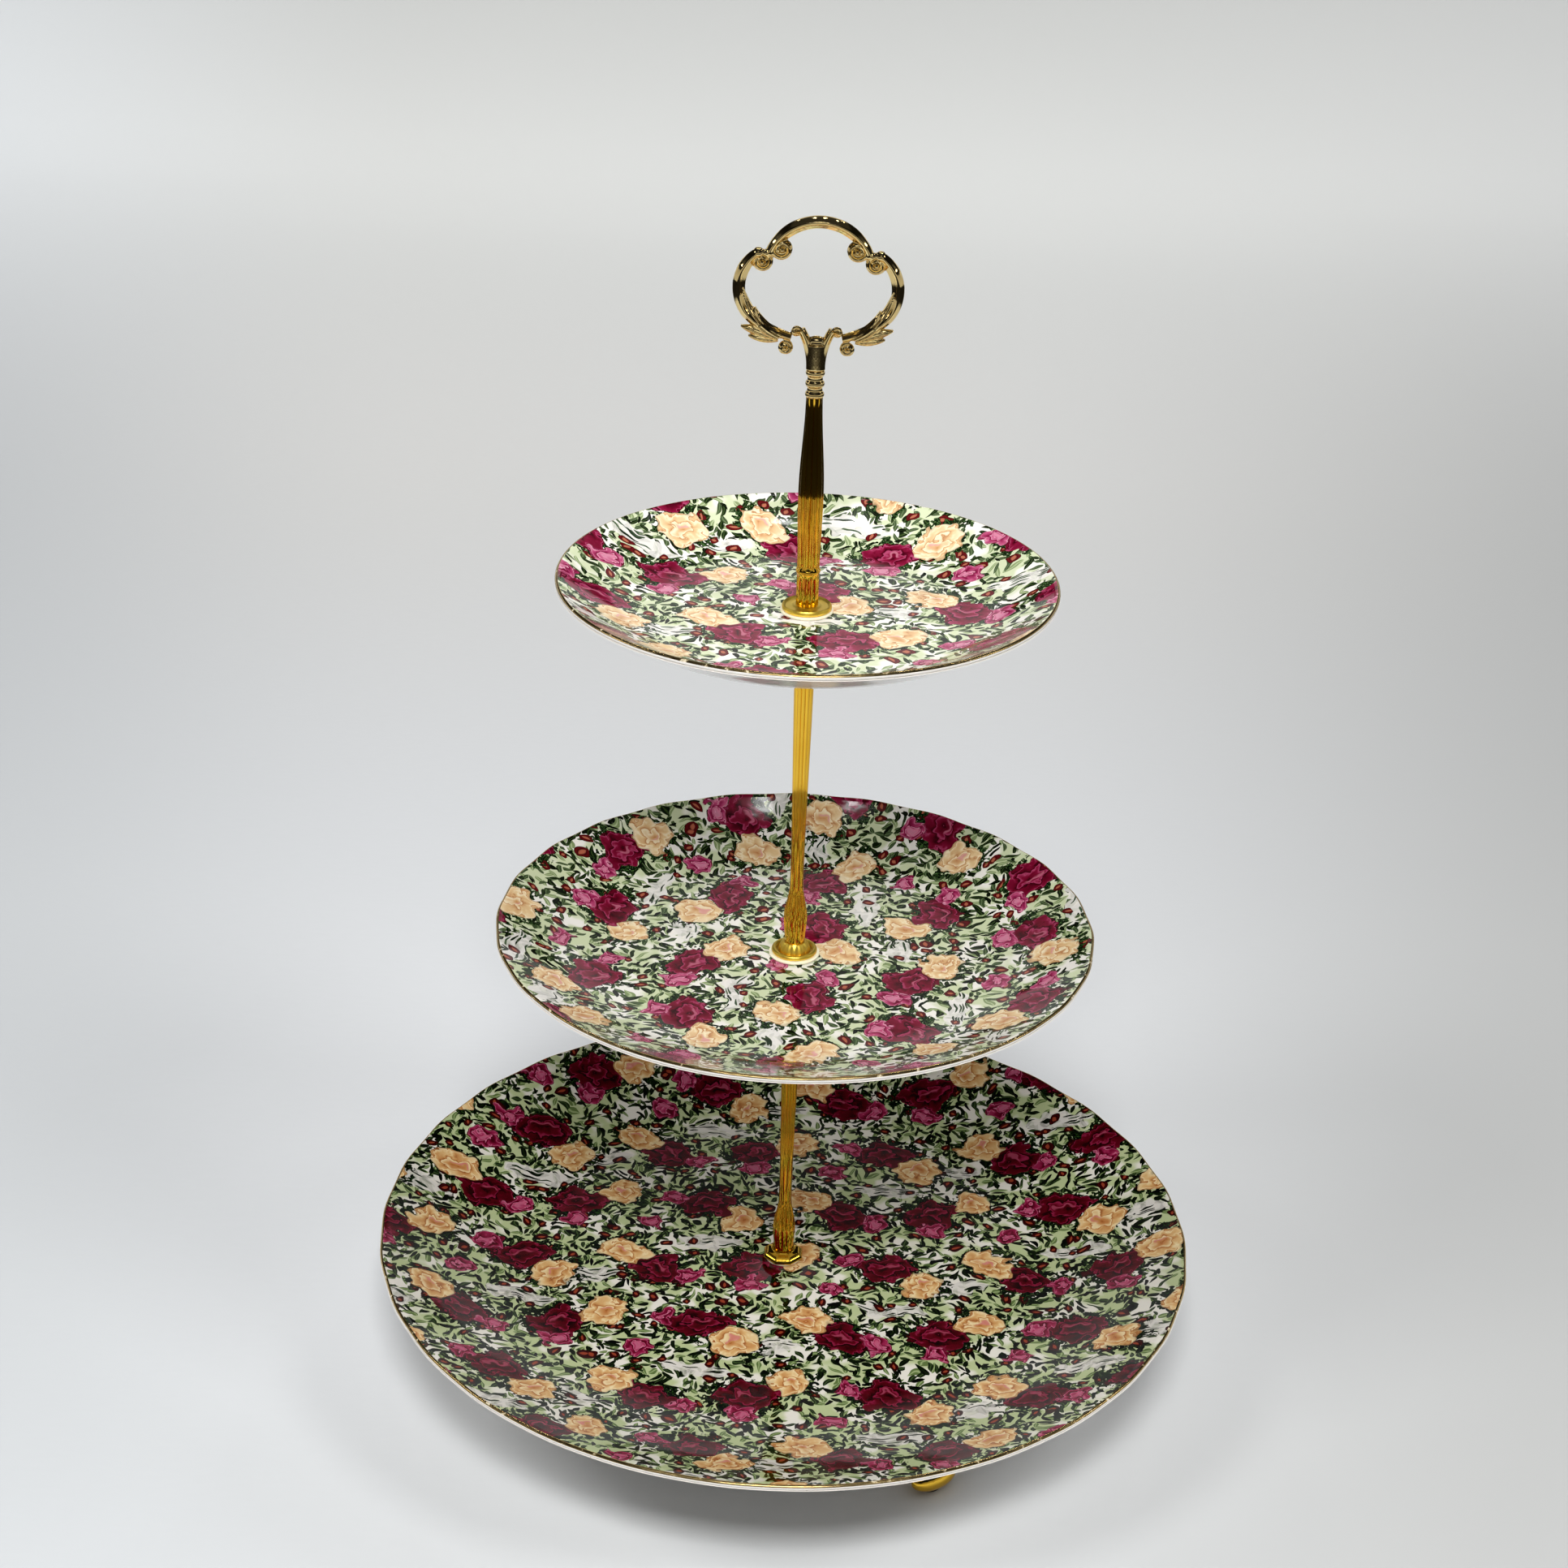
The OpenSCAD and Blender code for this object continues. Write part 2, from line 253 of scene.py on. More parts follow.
# Kind, middle, half width, half height and turn of every rose in one repeat.
ROSES = [
    (BURGUNDY, -4, -2, 10.2, 8.0, 12),
    (BURGUNDY, 25, -39, 10.2, 7.8, -24),
    (BURGUNDY, 41, -69, 10.2, 7.8, 8),
    (PINK, -5, -12, 5.0, 4.3, 0),
    (PINK, 36.5, -43, 5.1, 4.4, 30),
    (PINK, 28.5, -66, 4.8, 4.3, 0),
    (PINK, 22, -13, 4.9, 4.1, -10),
    (YELLOW, 10, 4.5, 7.8, 6.7, 20),
    (YELLOW, 14, -30.5, 8.2, 6.8, -15),
    (YELLOW, 52.5, -78.5, 8.0, 6.9, 35),
]
# Middle, half width, half height and turn of the white patches with grass.
STREAKS = [(0, -45, 13, 4.4, 8), (42, -24, 12, 3.9, -6)]


def lattice(t, place):
    """Place in mm turned into steps along STEP_A and STEP_B."""
    across = t.vector("DOT_PRODUCT", place, (1 / STEP_A[0], 0, 0))
    down = t.vector("DOT_PRODUCT", place, (-STEP_A[1] / (STEP_A[0] * STEP_B[1]), 1 / STEP_B[1], 0))
    return t.add("CombineXYZ", across, down, 0.0)


def motif(t, steps, x, y, half_width, half_height, degrees, kind=0.0):
    """Place seen from the nearest repeat of one motif, with its outline about 1 away. Z is its kind."""
    across = x / STEP_A[0]
    down = (y - STEP_A[1] * across) / STEP_B[1]
    away = t.vector("SUBTRACT", steps, (across, down, 0))
    near = t.vector("WRAP", away, (0.5, 0.5, 1), (-0.5, -0.5, -1))
    cos, sin = math.cos(math.radians(degrees)), math.sin(math.radians(degrees))
    row_x = [(cos * step[0] + sin * step[1]) / half_width for step in (STEP_A, STEP_B)]
    row_y = [(-sin * step[0] + cos * step[1]) / half_height for step in (STEP_A, STEP_B)]
    local_x = t.vector("DOT_PRODUCT", near, (*row_x, 0))
    local_y = t.vector("DOT_PRODUCT", near, (*row_y, 0))
    return t.add("CombineXYZ", local_x, local_y, float(kind))


def reach(t, local, pointed):
    """Distance from a motif's middle, with four drawn-out points if it is pointed."""
    distance = t.flat_length(local)
    if not pointed:
        return distance
    flat = t.vector("MULTIPLY", local, (1, 1, 0))
    corners = t.vector("DOT_PRODUCT", t.vector("ABSOLUTE", flat), (0.44, 0.44, 0))
    return t.math("MULTIPLY_ADD", distance, 0.5, corners)


def petal_shade(t, local, grain):
    """Overlapping petals of a rose: 0 in the fold under the next petal to 1 on a petal's edge. Also gives
    the distance from the middle and the height over it."""
    x, y, _ = t.split(local)
    radius = t.flat_length(local)
    angle = t.math("ARCTAN2", y, x)
    petals = t.math("MULTIPLY_ADD", angle, 2.5, t.times(grain, 2.2))
    swirl = t.math("MULTIPLY_ADD", radius, 5.0, petals)
    scallop = t.math("ABSOLUTE", t.math("SINE", swirl))
    notch = t.times(t.times(scallop, radius), -0.8)
    rings = t.math("MULTIPLY_ADD", radius, 2.7, notch)
    shade = t.math("FRACT", t.math("ADD", rings, t.times(grain, 0.35)))
    return shade, radius, y


def rose_colour(t, local, grain):
    """Colour of the rose whose local place and kind are given."""
    shade, radius, height = petal_shade(t, local, grain)
    kind = t.split(local)[2]
    burgundy = t.ramp(shade, (0.0, srgb(62, 6, 20)), (0.30, srgb(118, 16, 48)), (0.72, srgb(142, 30, 68)),
                      (0.92, srgb(182, 84, 120)), (1.0, srgb(134, 30, 64)))
    yellow = t.ramp(shade, (0.0, srgb(190, 138, 98)), (0.16, srgb(222, 184, 138)),
                    (0.55, srgb(236, 210, 168)), (0.90, srgb(248, 236, 206)), (1.0, srgb(230, 196, 152)))
    pink = t.ramp(shade, (0.0, srgb(116, 18, 54)), (0.35, srgb(164, 56, 100)), (0.75, srgb(196, 98, 136)),
                  (0.94, srgb(230, 170, 190)), (1.0, srgb(176, 74, 112)))
    yellow = t.mix(t.times(t.fade(radius, 0.5, 0.1), 0.40), yellow, srgb(204, 142, 92))
    pink = t.mix(t.times(t.fade(radius, 0.40, 0.15), 0.7), pink, srgb(230, 166, 188))
    colour = t.mix(t.math("GREATER_THAN", kind, 1.5), burgundy, yellow)
    colour = t.mix(t.math("GREATER_THAN", kind, 2.5), colour, pink)
    # A short bright stroke over the heart of a rose, and a darker edge all round
    stroke = t.math("SUBTRACT", 0.08, t.math("ABSOLUTE", t.math("SUBTRACT", radius, 0.26)))
    above = t.times(t.fade(stroke, 0.0, 0.05), t.fade(height, 0.02, 0.16))
    colour = t.mix(t.times(above, 0.5), colour, srgb(226, 150, 172))
    return t.mix(t.times(t.fade(radius, 0.88, 1.04), 0.45), colour, srgb(64, 22, 24))


def leaf_layer(t, place, cell, length, width, offset):
    """One leaf in each scattered cell: how deep a point lies in its leaf, its distance from the midrib
    and the cell's random colour."""
    spot = t.vector("MULTIPLY_ADD", place, (1 / cell, 1 / cell, 0), (offset, offset * 0.7, 0))
    cells = t.node("TexVoronoi", spot, None, 1.0, voronoi_dimensions="2D")
    away = t.vector("SUBTRACT", spot, cells.outputs["Position"])
    chance = cells.outputs["Color"]
    angle = t.times(t.split(chance)[0], TURN)
    turned = t.add("VectorRotate", away, None, None, angle, rotation_type="Z_AXIS")
    x, y, _ = t.split(turned)
    along = t.times(t.times(x, x), -((cell / length) ** 2))
    rib = t.math("ABSOLUTE", y)
    depth = t.math("MULTIPLY_ADD", rib, -cell / width, t.math("ADD", along, 1.0))
    return depth, rib, chance


def grass(t, place):
    """Long thin strokes, nearly level: a random value from 0 to 1 in each stroke, over 1 between them."""
    spot = t.vector("MULTIPLY", place, (1 / 7.5, 1 / 1.25, 0))
    cells = t.node("TexVoronoi", spot, None, 1.0, voronoi_dimensions="2D")
    return t.math("ADD", t.split(cells.outputs["Color"])[0], t.fade(cells.outputs["Distance"], 0.30, 0.42))


def spray(t, local, grain):
    """Pointed leaves that stand out round a rose: how deep a point lies in one, and how far off its rib."""
    x, y, kind = t.split(local)
    radius = t.flat_length(local)
    turn = t.math("MULTIPLY_ADD", t.math("ARCTAN2", y, x), 9 / TURN, t.times(grain, 1.5))
    chance = t.add("TexWhiteNoise", t.add("CombineXYZ", t.math("FLOOR", turn), kind, 0.0))
    off = t.math("ABSOLUTE", t.math("SUBTRACT", t.math("FRACT", turn), 0.5))
    out = t.times(t.math("SUBTRACT", radius, 1.0), t.math("MULTIPLY_ADD", chance, 2.2, 1.5))
    depth = t.math("SUBTRACT", t.math("MULTIPLY_ADD", off, -2.9, 1.0), t.times(out, out))
    return depth, off


def nudge(t, place, noise, amount):
    """Place moved about by a noise colour, up to half an amount each way."""
    return t.vector("MULTIPLY_ADD", t.vector("SUBTRACT", noise, (0.5, 0.5, 0.5)), (amount, amount, 0), place)


def make_print():
    """Node group with the all-over rose print: a place in mm gives a colour."""
    group = bpy.data.node_groups.new("rose_print", "ShaderNodeTree")
    group.interface.new_socket(name="Place", in_out="INPUT", socket_type="NodeSocketVector")
    group.interface.new_socket(name="Color", in_out="OUTPUT", socket_type="NodeSocketColor")
    t = Tree(group)
    place = group.nodes.new("NodeGroupInput").outputs[0]
    # Hand-drawn wobble: slow for the flowers' shapes, quick for their petal edges
    slow = t.noise(place, 0.10, 0.0, "2D", 1)
    quick = t.noise(place, 0.30, 0.0, "2D", 1)
    grain = t.math("SUBTRACT", t.noise(place, 0.55, 1.0, "2D"), 0.5)
    bent = nudge(t, place, slow, 5)
    leaning = nudge(t, bent, quick, 1.2)
    steps = lattice(t, nudge(t, bent, quick, 3.4))

    # Ground: white with pale green clouds, then leaves from pale to dark, grass on white patches, and buds
    cloud = t.fade(t.noise(place, 0.075, 2.0, "2D"), 0.40, 0.54)
    colour = t.mix(cloud, srgb(242, 239, 232), srgb(212, 219, 186))
    streak = None
    for row in STREAKS:
        inside = t.fade(t.vector("LENGTH", motif(t, steps, *row)), 1.03, 0.93)
        streak = inside if streak is None else t.math("MAXIMUM", streak, inside)
    blades = t.ramp(grass(t, leaning), (0.0, srgb(28, 38, 24)), (0.50, srgb(84, 106, 80)),
                    (0.51, srgb(242, 238, 230)), (1.0, srgb(234, 231, 226)))
    colour = t.mix(streak, colour, blades)
    open_ground = t.math("SUBTRACT", 1.0, t.times(streak, 0.85))
    # Cell size, offset and sparseness of each layer of leaves, with the colours of its ribs and blades
    for cell, offset, few, rim, body in (
        (4.4, 3.3, 0.1, srgb(197, 208, 170), srgb(146, 162, 118)),
        (3.8, 11.1, 0.2, srgb(118, 136, 98), srgb(76, 92, 62)),
        (4.2, 27.7, 0.3, srgb(72, 92, 50), srgb(30, 44, 22)),
        (3.3, 63.9, 0.66, srgb(44, 54, 30), srgb(16, 24, 12)),
    ):
        depth, rib, chance = leaf_layer(t, leaning, cell, cell * 0.56, cell * 0.20, offset)
        shown = t.times(t.math("GREATER_THAN", t.split(chance)[1], few), open_ground)
        blade = t.mix(t.fade(rib, 0.0, 0.06), rim, body)
        colour = t.mix(t.times(t.fade(depth, 0.0, 0.10), shown), colour, blade)
    depth, rib, chance = leaf_layer(t, bent, 8.0, 2.0, 2.0, 41.9)
    bud = t.ramp(depth, (0.0, srgb(60, 14, 12)), (0.35, srgb(116, 32, 36)), (0.62, srgb(84, 18, 24)),
                 (0.8, srgb(186, 116, 92)))
    has_bud = t.math("GREATER_THAN", t.split(chance)[1], 0.40)
    colour = t.mix(t.times(t.fade(depth, 0.0, 0.08), has_bud), colour, bud)

    # Nearest rose, and the leaves behind it
    rose = around = (9.0, 9.0, 0.0)
    for kind, *row in ROSES:
        local = motif(t, steps, *row, kind=kind)
        distance = reach(t, local, kind == BURGUNDY)
        rose = t.mix_vector(t.math("LESS_THAN", distance, 1.0), rose, local)
        if kind != PINK:
            around = t.mix_vector(t.math("LESS_THAN", distance, 1.6), around, local)
    depth, off = spray(t, around, grain)
    blade = t.mix(t.fade(off, 0.0, 0.06), srgb(96, 128, 76), srgb(26, 44, 20))
    colour = t.mix(t.fade(depth, 0.0, 0.12), colour, blade)
    is_rose = t.math("GREATER_THAN", t.split(rose)[2], 0.5)
    colour = t.mix(is_rose, colour, rose_colour(t, rose, grain))
    out = group.nodes.new("NodeGroupOutput")
    t.put(out.inputs[0], colour)
    return group


# ---- materials


def object_place(t, turn_degrees=0.0, shift=(0, 0, 0)):
    """Place on the object in mm, turned and shifted in the plane of the print."""
    place = t.node("TexCoord").outputs["Object"]
    return t.add("Mapping", place, shift, (0, 0, math.radians(turn_degrees)), (1 / MM,) * 3)


def glaze(t, shader):
    """Glassy glaze: a slight ripple in its surface and roughness."""
    place = object_place(t)
    value = t.noise(place, 0.035, 2.0)
    t.roughen(shader, value, 0.05, 0.05)
    ripple = t.noise(place, 0.16, 1.0)
    t.bump(shader, 0.12, 0.0004, ripple)


def print_material(group, name, turn_degrees, shift, painted_shade_gamma, painted_shade_tone):
    """Printed, glazed china. The print is turned, shifted, deepened by a gamma and greyed by a tone: painted
    shade, stronger on the lower plates, for the shade that the tiers above cast.
    """
    material, t, shader = new_material(name)
    shader["Specular IOR Level"].default_value = 0.19
    print_node = t.node("Group")
    print_node.node_tree = group
    t.put(print_node.inputs[0], object_place(t, turn_degrees, shift))
    # Painted shade: the print is deepened by a gamma and multiplied by a grey tone, most on the bottom
    # plate, for the shade under the tiers above
    ink = t.add("Gamma", print_node.outputs[0], painted_shade_gamma)
    t.put(shader["Base Color"], t.mix(1.0, ink, (painted_shade_tone, painted_shade_tone, painted_shade_tone, 1), "MULTIPLY"))
    glaze(t, shader)
    return material


def white_material():
    """White glazed china with faint warm clouds and pinholes."""
    material, t, shader = new_material("white_china")
    place = object_place(t)
    cloud = t.noise(place, 0.03, 3.0)
    colour = t.mix(cloud, srgb(230, 226, 221), srgb(216, 211, 204))
    specks = t.node("TexVoronoi", place, None, 0.22).outputs["Distance"]
    colour = t.mix(t.fade(specks, 0.045, 0.03), colour, srgb(170, 160, 146))
    t.put(shader["Base Color"], colour)
    glaze(t, shader)
    return material


def matt_material(name, scale, detail, light, dark, roughness, strength=0.3, distance=0.0002):
    """Matt material with grit in two colours, in its roughness and in its surface."""
    material, t, shader = new_material(name)
    grit = t.noise(object_place(t), scale, detail)
    t.put(shader["Base Color"], t.mix(grit, light, dark))
    t.roughen(shader, grit, 0.2, roughness)
    t.bump(shader, strength, distance, grit)
    return material, shader


def bisque_material():
    """Bare fired clay under the foot ring."""
    return matt_material("bare_china", 2.5, 4.0, srgb(206, 198, 184), srgb(176, 166, 150), 0.7)[0]


def rubber_material():
    """Matt black rubber of the foot pads."""
    return matt_material("black_rubber", 3.0, 4.0, srgb(30, 30, 31), srgb(46, 45, 44), 0.6)[0]


def rim_material():
    """Fired gold line, worn thin in places."""
    material, t, shader = new_material("rim_gold")
    place = object_place(t)
    wear = t.noise(place, 0.5, 4.0)
    worn = t.fade(wear, 0.60, 0.72)
    t.put(shader["Base Color"], t.mix(worn, srgb(206, 178, 118), srgb(218, 206, 178)))
    t.put(shader["Metallic"], t.math("SUBTRACT", 1.0, t.times(worn, 0.8)))
    t.roughen(shader, wear, 0.2, 0.12)
    return material


def gold_material(name, light, deep, roughness=0.03):
    """Bright gold plating: faint polishing marks, warmer and duller in its folds."""
    material, t, shader = new_material(name)
    place = object_place(t)
    cloud = t.noise(place, 0.12, 3.0)
    marks = t.noise(t.vector("MULTIPLY", place, (1, 1, 0.12)), 1.6, 3.0)
    fold = t.node("NewGeometry").outputs["Pointiness"]
    colour = t.mix(t.fade(fold, 0.47, 0.40), t.mix(cloud, light, deep), srgb(150, 96, 30))
    t.put(shader["Base Color"], colour)
    shader["Metallic"].default_value = 1
    t.roughen(shader, marks, 0.08, roughness)
    t.bump(shader, 0.06, 0.0001, marks)
    return material


def soft_material():
    """Milky soft plastic of the washers and bushes."""
    material, shader = matt_material("milky_plastic", 0.8, 3.0, srgb(238, 232, 206), srgb(222, 214, 184),
                                     0.32, 0.15, 0.0001)
    shader["Subsurface Weight"].default_value = 0.2
    shader["Subsurface Scale"].default_value = 0.001
    return material


def steel_material():
    """Zinc plated screw steel with turning marks."""
    material, t, shader = new_material("zinc_steel")
    marks = t.noise(t.vector("MULTIPLY", object_place(t), (0.4, 0.4, 5)), 1.2, 3.0)
    t.put(shader["Base Color"], t.mix(marks, srgb(196, 198, 200), srgb(150, 150, 150)))
    shader["Metallic"].default_value = 1
    t.roughen(shader, marks, 0.2, 0.2)
    return material


# ---- meshes


def new_mesh(name, verts, faces):
    """Mesh object from points in mm, with its faces turned outwards."""
    mesh = bpy.data.meshes.new(name)
    mesh.from_pydata([tuple(c * MM for c in v) for v in verts], [], faces)
    solid = bmesh.new()
    solid.from_mesh(mesh)
    bmesh.ops.recalc_face_normals(solid, faces=solid.faces)
    solid.to_mesh(mesh)
    solid.free()
    piece = bpy.data.objects.new(name, mesh)
    bpy.context.scene.collection.objects.link(piece)
    return piece


def revolve(name, profile, segments=96, shape=None, closed=False):
    """Solid of a profile of (radius, height) points about the Z axis. A radius of 0 is a pole, and
    shape(radius, height, angle) may move each point."""
    rings, verts, faces = [], [], []
    for radius, height in profile:
        if radius == 0:
            rings.append([len(verts)] * segments)
            verts.append((0, 0, height))
            continue
        rings.append([len(verts) + i for i in range(segments)])
        for i in range(segments):
            angle = TURN * i / segments
            r, z = shape(radius, height, angle) if shape else (radius, height)
            verts.append((r * math.cos(angle), r * math.sin(angle), z))
    pairs = list(zip(rings, rings[1:]))
    if closed:
        pairs.append((rings[-1], rings[0]))
    for low, high in pairs:
        for i in range(segments):
            j = (i + 1) % segments
            faces.append(list(dict.fromkeys((low[i], low[j], high[j], high[i]))))
    return new_mesh(name, verts, faces)


def stand_in(piece, node, *materials, sharp=None):
    """The piece takes the CAD node's body and place in view, and these materials. It is shaded smooth,
    but for edges over an angle in degrees."""
    if sharp:
        piece.data.shade_smooth()
        piece.data.set_sharp_from_angle(angle=math.radians(sharp))
    for material in materials:
        piece.data.materials.append(material)
    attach(piece, BODY_OF[node])
    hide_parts(node)


def ease(t):
    """From 0 to 1 with a smooth start and end."""
    return (1 - math.cos(math.pi * t)) / 2


def swell(a, b, t):
    """From a to b with a smooth start and end."""
    return a + (b - a) * ease(t)


def steps_of(count):
    """Evenly spaced values from 0 to 1."""
    return [i / count for i in range(count + 1)]


def on_circle(cx, cz, radius, degrees):
    """Point on a circle, as (x, z)."""
    angle = math.radians(degrees)
    return (cx + radius * math.cos(angle), cz + radius * math.sin(angle))


def arc_points(cx, cz, radius, start, end, count):
    """Points on an arc, in degrees, as (x, z)."""
    return [on_circle(cx, cz, radius, start + (end - start) * t) for t in steps_of(count)]


# ---- plates

# Radius of a plate's rounded lip
LIP_R = 0.85
# Room between a plate and the soft washer over it
GAP = 0.05
# Rows of faces on the lip, from its top, that the gold line covers
GOLD_ROWS = 8
PLATE_SEGMENTS = 288
# Material slots of a plate
PRINT, GOLD, WHITE, BARE = range(4)
# Bores for the M4 and M3 studs, and how deep they go into a column
M4_BORE_R = 2.05
M3_BORE_R = 1.55
BORE_DEPTH = 10


def plate(node, washer, depth, thickness, waves, print_look, white, gold, bare):
    """Coupe plate: printed well and wall, gold line on a gently waved lip, white underside, foot ring."""
    rim_r = radius_of(node)
    well = bottom(washer) - GAP
    wall_r = rim_r - LIP_R
    flat_r = rim_r * 0.6
    foot_r = flat_r - 2
    under = well - thickness
    hole_r = 4

    def dish(t):
        return t * t * (1.55 - 0.55 * t)

    inside = [(hole_r, under + 0.3), (hole_r, well - 0.5), (hole_r + 0.15, well - 0.15),
              (hole_r + 0.5, well)]
    inside += [(hole_r + (flat_r - hole_r) * t, well) for t in (0.25, 0.5, 0.75)]
    face = [(flat_r + (wall_r - flat_r) * t, well + depth * dish(t)) for t in steps_of(28)]
    lip = arc_points(wall_r, well + depth - LIP_R, LIP_R, 84, -70, 16)
    below = [(flat_r + 0.9 + (wall_r - flat_r) * t, well + depth * dish(t) - swell(thickness, 2 * LIP_R, t))
             for t in reversed(steps_of(24))]
    ring = [(foot_r + 2.4, under), (foot_r + 1.5, under - 0.7), (foot_r + 1.2, under - 1.8),
            (foot_r + 0.6, under - 2.2), (foot_r - 0.6, under - 2.2), (foot_r - 1.2, under - 1.8),
            (foot_r - 1.5, under - 0.7), (foot_r - 2.4, under)]
    centre = [(flat_r * 0.5, under), (hole_r + 0.3, under)]
    profile = inside + face + lip + below + ring + centre

    def wave(r, z, angle):
        share = max(0.0, (r - flat_r) / (rim_r - flat_r)) ** 3
        push = math.cos(waves * angle) * share if waves else 0
        return r - 0.18 * share * bool(waves) + 0.18 * push, z + 0.12 * push

    piece = revolve(node + "_china", profile, PLATE_SEGMENTS, wave, closed=True)
    stand_in(piece, node, print_look, gold, white, bare, sharp=40)
    # Rows of faces: the print runs from the rim of the hole to the lip
    first_print = 2
    last_print = len(inside) + len(face) - 1
    bare_row = last_print + 1 + len(lip) + len(below) + 3
    for face_index, polygon in enumerate(piece.data.polygons):
        row = face_index // PLATE_SEGMENTS
        if first_print <= row < last_print:
            polygon.material_index = PRINT
        elif last_print <= row < last_print + GOLD_ROWS:
            polygon.material_index = GOLD
        else:
            polygon.material_index = BARE if row == bare_row else WHITE


# ---- columns and small round pieces


def reeds(count, depth, low, high):
    """Shape that cuts round reeds, a share depth deep, between two heights, fading at both ends."""
    def shape(r, z, angle):
        if r < 2.2 or not low < z < high:
            return r, z
        fade = min(1, (z - low) / 1.5, (high - z) / 1.5)
        return r * (1 - depth * fade * (1 - abs(math.cos(count * angle / 2)))), z
    return shape


def column(node, gold):
    """Reeded column: round foot, swelling, narrow neck and a long taper out to the top."""
    z0, z1 = bottom(node), top(node)
    foot_r, swell_r, neck_r, top_r = 3.2, 3.7, 2.1, 3.1
    swell_h, neck_h = 8, 20
    length = z1 - z0
    profile = [(0, z0 + BORE_DEPTH), (M4_BORE_R, z0 + BORE_DEPTH), (M4_BORE_R, z0), (foot_r - 0.15, z0),
               (foot_r, z0 + 0.15)]
    profile += [(swell(foot_r, swell_r, t), z0 + 0.2 + (swell_h - 0.2) * t) for t in steps_of(10)]
    profile += [(swell(swell_r, neck_r, t), z0 + swell_h + (neck_h - swell_h) * t)
                for t in steps_of(14)[1:]]
    profile += [(swell(neck_r, top_r, t), z0 + neck_h + (length - neck_h) * t) for t in steps_of(40)[1:]]
    profile += [(M4_BORE_R, z1), (M4_BORE_R, z1 - BORE_DEPTH), (0, z1 - BORE_DEPTH)]
    piece = revolve(node + "_metal", profile, 120, reeds(12, 0.13, z0 + 0.8, z1 - 0.3))
    stand_in(piece, node, gold, sharp=50)


def upper_column(node, gold):
    """Reeded upper column: foot with a bead, a long swelling and a taper up to the collar."""
    z0, z1 = bottom(node), top(node)
    length = z1 - z0
    foot_r, wide_r, top_r, bead_h, bead_r = 3.35, 3.75, 2.45, 10, 0.35
    wide_h, top_bore_depth = length * 0.54, 9
    profile = [(0, z0 + BORE_DEPTH), (M4_BORE_R, z0 + BORE_DEPTH), (M4_BORE_R, z0), (foot_r, z0)]
    profile += [(foot_r, z0 + bead_h * t) for t in steps_of(8)[1:]]
    profile += [(foot_r + bead_r * math.sin(math.pi * t), z0 + bead_h + 1.8 * t) for t in steps_of(8)[1:]]
    start = bead_h + 1.8
    profile += [(swell(foot_r, wide_r, t), z0 + start + (wide_h - start) * t) for t in steps_of(24)[1:]]
    profile += [(swell(wide_r, top_r, t), z0 + wide_h + (length - wide_h) * t) for t in steps_of(24)[1:]]
    profile += [(M3_BORE_R, z1), (M3_BORE_R, z1 - top_bore_depth), (0, z1 - top_bore_depth)]
    lower = reeds(10, 0.16, z0 - 2, z0 + bead_h)
    upper = reeds(10, 0.16, z0 + start - 0.6, z1 - 0.6)

    def shape(r, z, angle):
        return lower(r, z, angle) if z < z0 + bead_h else upper(r, z, angle)

    piece = revolve(node + "_metal", profile, 120, shape)
    stand_in(piece, node, gold, sharp=50)


def threaded(node, pitch, steel, head=None):
    """Stud with a real helical thread. A head is (radius, height, key radius) of a socket screw."""
    z0, z1 = bottom(node), top(node)
    if head:
        head_r, head_h, key_r = head
        r = 2.0
        start = z0 + head_h
    else:
        r = radius_of(node)
        start = z0
    depth = 0.32 * pitch
    steps_per_turn = 8
    count = int((z1 - start) / pitch * steps_per_turn)
    chamfer = 0.4
    rod = [(r if 0 < i < count else r - chamfer, start + (z1 - start) * i / count) for i in range(count + 1)]
    if head:
        key_depth = head_h * 0.6
        foot = [(0, z0 + key_depth), (key_r, z0 + key_depth), (key_r, z0), (head_r - 0.3, z0),
                (head_r, z0 + 0.3), (head_r, z0 + head_h - 0.2), (head_r - 0.2, z0 + head_h)]
    else:
        foot = [(0, z0)]

    def thread(radius, z, angle):
        if radius != r or z <= start + 0.3:
            return radius, z
        phase = (z / pitch - angle / TURN) % 1
        return radius - depth * abs(2 * phase - 1), z

    piece = revolve(node + "_thread", foot + rod + [(0, z1)], 32, thread)
    stand_in(piece, node, steel, sharp=60)


def washer(node, hole_r, look):
    """Flat washer with rounded edges."""
    z0, z1 = bottom(node), top(node)
    r, edge = radius_of(node), 0.3
    inner = [(hole_r, z1 - edge), (hole_r, z0 + edge)]
    low = arc_points(r - edge, z0 + edge, edge, -90, 0, 4)
    high = arc_points(r - edge, z1 - edge, edge, 0, 90, 4)
    profile = inner + [(hole_r + edge, z0)] + low + high + [(hole_r + edge, z1)]
    piece = revolve(node + "_ring", profile, 96, closed=True)
    stand_in(piece, node, look, sharp=35)


def bush(node, look):
    """Soft flanged washer with a spigot up through the plate."""
    z0, z1 = bottom(node), top(node)
    r, spigot_r, hole_r, edge, flange = radius_of(node), 3.92, M4_BORE_R, 0.25, 1.0
    profile = [(hole_r, z1 - 0.2), (hole_r, z0 + 0.1), (hole_r + 0.2, z0)]
    profile += arc_points(r - edge, z0 + edge, edge, -90, 0, 4)
    profile += arc_points(r - edge, z0 + flange - edge, edge, 0, 90, 4)
    profile += [(spigot_r + 0.2, z0 + flange), (spigot_r, z0 + flange + 0.2), (spigot_r, z1 - 0.3),
                (spigot_r - 0.3, z1), (hole_r + 0.2, z1)]
    piece = revolve(node + "_soft", profile, 96, closed=True)
    stand_in(piece, node, look, sharp=35)


